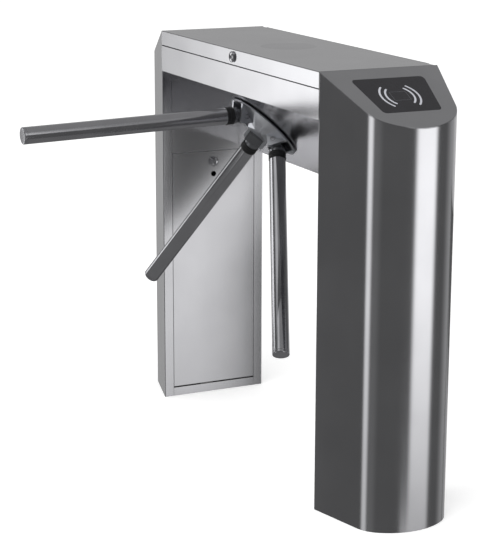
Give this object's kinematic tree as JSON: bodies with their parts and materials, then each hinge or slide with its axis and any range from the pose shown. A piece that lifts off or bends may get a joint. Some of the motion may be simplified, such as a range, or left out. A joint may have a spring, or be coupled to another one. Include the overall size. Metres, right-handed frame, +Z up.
{
  "type": "tripod turnstile",
  "caption": "Waist-high tripod turnstile: two tapered legs, a bridge with hinged lid, and a hub with fold-down arms on its 45 degree face.",
  "frame": {"origin": "on the floor, at the centre of the four floor anchors, midway between the legs", "axes": "+X along the bridge from the far leg to the near leg, -Y towards the passage side that the arms stand out to, +Z up"},
  "size_m": [1.258, 0.7843, 0.956],
  "materials": {
    "cabinet_skin": "brushed stainless steel",
    "cabinet_panel": "brushed stainless steel",
    "lid_sheet": "brushed stainless steel",
    "lid_disc": "brushed stainless steel",
    "reader_glass": "black gloss acrylic",
    "frame_steel": "zinc-primed steel plate",
    "base_steel": "galvanised steel plate",
    "hub_cast": "satin cast aluminium",
    "arm_steel": "polished stainless tube",
    "end_cap": "turned aluminium",
    "collar": "black rubber",
    "lock_chrome": "polished chrome",
    "machine_steel": "machined steel",
    "gear_steel": "hobbed steel",
    "bearing": "ground bearing steel",
    "spring_steel": "spring wire",
    "solenoid_case": "black lacquer",
    "damper_case": "black moulded plastic",
    "board": "green circuit board with relays",
    "module_case": "black moulded plastic",
    "supply_case": "pressed aluminium",
    "screw_steel": "stainless screws"
  },
  "bodies": {
    "cabinet": {"leg_skin_near": "cabinet_skin", "leg_skin_far": "cabinet_skin", "leg_frame_near": "frame_steel", "leg_frame_far": "frame_steel", "upper_panels": "cabinet_panel", "kick_strips": "cabinet_panel", "leg_caps": "lid_sheet", "base_plates": "base_steel", "reader_windows": "reader_glass", "reader_modules": "module_case", "hinge_pins": "machine_steel", "bridge_chassis": "cabinet_skin", "face_screws": "screw_steel", "lid_hinge_base": "machine_steel", "mech_plate": "frame_steel", "rear_plate": "frame_steel", "plate_spacers": "machine_steel", "bearing_housings": "hub_cast", "ball_bearings": "bearing", "pivot_pins": "machine_steel", "centring_spring": "spring_steel", "solenoids": "solenoid_case", "damper_body": "damper_case", "control_board": "board", "power_supply": "supply_case"},
    "rotor": {"hub": "hub_cast", "arm_pins": "machine_steel", "main_shaft": "machine_steel", "shaft_nut": "machine_steel", "drive_gear": "gear_steel", "lock_wheel": "gear_steel"},
    "arm_1": {"arm_block_1": "hub_cast", "arm_collar_1": "collar", "arm_tube_1": "arm_steel", "arm_end_cap_1": "end_cap"},
    "arm_2": {"arm_block_2": "hub_cast", "arm_collar_2": "collar", "arm_tube_2": "arm_steel", "arm_end_cap_2": "end_cap"},
    "arm_3": {"arm_block_3": "hub_cast", "arm_collar_3": "collar", "arm_tube_3": "arm_steel", "arm_end_cap_3": "end_cap"},
    "bridge_lid": {"lid": "lid_sheet", "lid_disc": "lid_disc", "lid_hinge_leaf": "machine_steel", "lid_lock_barrel": "lock_chrome"},
    "lid_lock": {"lid_lock_cam": "lock_chrome"},
    "near_door": {"door_near": "cabinet_panel", "door_lock_barrel_near": "lock_chrome"},
    "far_door": {"door_far": "cabinet_panel", "door_lock_barrel_far": "lock_chrome"},
    "near_door_lock": {"door_lock_cam_near": "lock_chrome"},
    "far_door_lock": {"door_lock_cam_far": "lock_chrome"},
    "crank": {"centring_crank": "gear_steel"},
    "damper": {"damper_pinion": "gear_steel"},
    "right_pawl": {"locking_pawl_right": "gear_steel"},
    "left_pawl": {"locking_pawl_left": "gear_steel"},
    "right_plunger": {"plunger_right": "machine_steel"},
    "left_plunger": {"plunger_left": "machine_steel"}
  },
  "joints": [
    {"name": "rotor_turn", "type": "hinge", "parent": "cabinet", "child": "rotor", "pos_m": [0, -0.0601, 0.7761], "axis": [0, -0.7071, -0.7071], "continuous": true},
    {"name": "arm_1_fold", "type": "hinge", "parent": "rotor", "child": "arm_1", "pos_m": [0.00105, -0.11666, 0.80437], "axis": [0.9998, 0.0123, -0.0123], "range_deg": [0, 90]},
    {"name": "arm_2_fold", "type": "hinge", "parent": "rotor", "child": "arm_2", "pos_m": [-0.05248, -0.05367, 0.74139], "axis": [-0.4848, -0.6184, 0.6184], "range_deg": [0, 45]},
    {"name": "arm_3_fold", "type": "hinge", "parent": "rotor", "child": "arm_3", "pos_m": [0.05143, -0.05239, 0.7401], "axis": [-0.515, 0.6061, -0.6061], "range_deg": [0, 45]},
    {"name": "lid_open", "type": "hinge", "parent": "cabinet", "child": "bridge_lid", "pos_m": [0, 0.136, 0.952], "axis": [-1, 0, 0], "range_deg": [0, 80]},
    {"name": "lid_lock_turn", "type": "hinge", "parent": "bridge_lid", "child": "lid_lock", "pos_m": [0, -0.14, 0.9385], "axis": [0, 1, 0], "range_deg": [0, 90]},
    {"name": "near_door_open", "type": "hinge", "parent": "cabinet", "child": "near_door", "pos_m": [0.433, 0, 0.0262], "axis": [0, -1, 0], "range_deg": [0, 20]},
    {"name": "near_door_lock_turn", "type": "hinge", "parent": "near_door", "child": "near_door_lock", "pos_m": [0.43, 0, 0.616], "axis": [1, 0, 0], "range_deg": [0, 90]},
    {"name": "far_door_open", "type": "hinge", "parent": "cabinet", "child": "far_door", "pos_m": [-0.433, 0, 0.0262], "axis": [0, 1, 0], "range_deg": [0, 20]},
    {"name": "far_door_lock_turn", "type": "hinge", "parent": "far_door", "child": "far_door_lock", "pos_m": [-0.43, 0, 0.616], "axis": [1, 0, 0], "range_deg": [0, 90]},
    {"name": "crank_turn", "type": "hinge", "parent": "cabinet", "child": "crank", "pos_m": [0.04, -0.07515, 0.85903], "axis": [0, -0.7071, -0.7071], "continuous": true, "deforming": ["centring_spring"]},
    {"name": "damper_turn", "type": "hinge", "parent": "cabinet", "child": "damper", "pos_m": [-0.04, -0.07515, 0.85903], "axis": [0, -0.7071, -0.7071], "continuous": true},
    {"name": "right_pawl_swing", "type": "hinge", "parent": "cabinet", "child": "right_pawl", "pos_m": [0.045, 0.02617, 0.80297], "axis": [0, -0.7071, -0.7071], "range_deg": [0, 9.5]},
    {"name": "right_plunger_pull", "type": "slide", "parent": "cabinet", "child": "right_plunger", "axis": [0, -0.7071, 0.7071], "range_m": [0, 0.0065]},
    {"name": "left_pawl_swing", "type": "hinge", "parent": "cabinet", "child": "left_pawl", "pos_m": [-0.045, 0.02617, 0.80297], "axis": [0, 0.7071, 0.7071], "range_deg": [0, 9.5]},
    {"name": "left_plunger_pull", "type": "slide", "parent": "cabinet", "child": "left_plunger", "axis": [0, -0.7071, 0.7071], "range_m": [0, 0.0065]}
  ],
  "couplings": [
    {"joint": "crank_turn", "follows": "rotor_turn", "ratio": -3},
    {"joint": "damper_turn", "follows": "rotor_turn", "ratio": -3},
    {"joint": "right_plunger_pull", "follows": "right_pawl_swing", "m_per_rad": 0.037826},
    {"joint": "left_plunger_pull", "follows": "left_pawl_swing", "m_per_rad": 0.037826}
  ]
}
